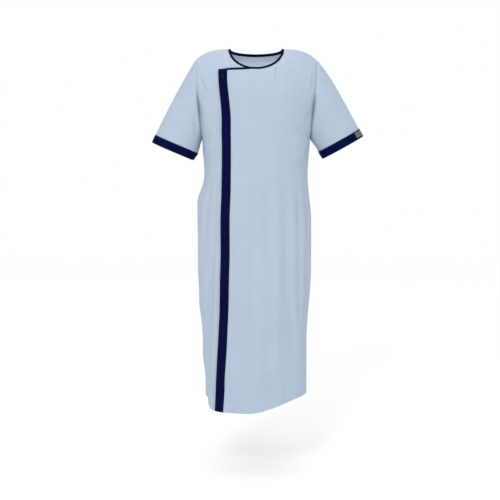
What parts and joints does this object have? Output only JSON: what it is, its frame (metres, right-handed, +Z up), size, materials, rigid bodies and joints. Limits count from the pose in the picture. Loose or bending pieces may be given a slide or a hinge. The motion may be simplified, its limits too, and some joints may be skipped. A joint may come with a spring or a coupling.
{
  "type": "patient gown",
  "caption": "Wraparound short-sleeved patient gown in its worn shape, with contrast bands on the overlap, neck and cuffs, sleeves that lift and a front that opens.",
  "frame": {"origin": "centre of the neck at the height of the two neck points, where the gown hangs on its wearer's shoulders", "axes": "+Z up, the front faces -Y, +X towards the wearer's left"},
  "size_m": [0.7321, 0.2691, 1.2442],
  "materials": {
    "gown_cloth": "woven light blue fine check, matte",
    "navy_cloth": "woven navy twill, matte",
    "label_cloth": "woven white satin, matte",
    "navy_resin": "satin moulded resin"
  },
  "bodies": {
    "gown_body": {"back_panel": "gown_cloth", "underlap_panel": "gown_cloth", "overlap_side_panel": "gown_cloth", "neck_binding": "navy_cloth", "care_label": "label_cloth", "snap_studs": "navy_resin", "snap_backs": "navy_resin"},
    "front_flap": {"overlap_flap_panel": "gown_cloth", "placket_band": "navy_cloth", "overlap_neck_binding": "navy_cloth", "snap_caps": "navy_resin", "snap_sockets": "navy_resin"},
    "right_sleeve_body": {"right_sleeve": "gown_cloth", "right_cuff": "navy_cloth"},
    "left_sleeve_body": {"left_sleeve": "gown_cloth", "left_cuff": "navy_cloth", "cuff_tag": "label_cloth"}
  },
  "joints": [
    {"name": "front_opening", "type": "hinge", "parent": "gown_body", "child": "front_flap", "pos_m": [0.0908, -0.135, 0], "axis": [0, 0.02, 0.9998], "range_deg": [0, 75]},
    {"name": "right_sleeve_lift", "type": "hinge", "parent": "gown_body", "child": "right_sleeve_body", "pos_m": [-0.2083, 0, -0.0345], "axis": [0, 1, 0], "range_deg": [0, 35]},
    {"name": "left_sleeve_lift", "type": "hinge", "parent": "gown_body", "child": "left_sleeve_body", "pos_m": [0.2083, 0, -0.0345], "axis": [0, -1, 0], "range_deg": [0, 35]}
  ]
}
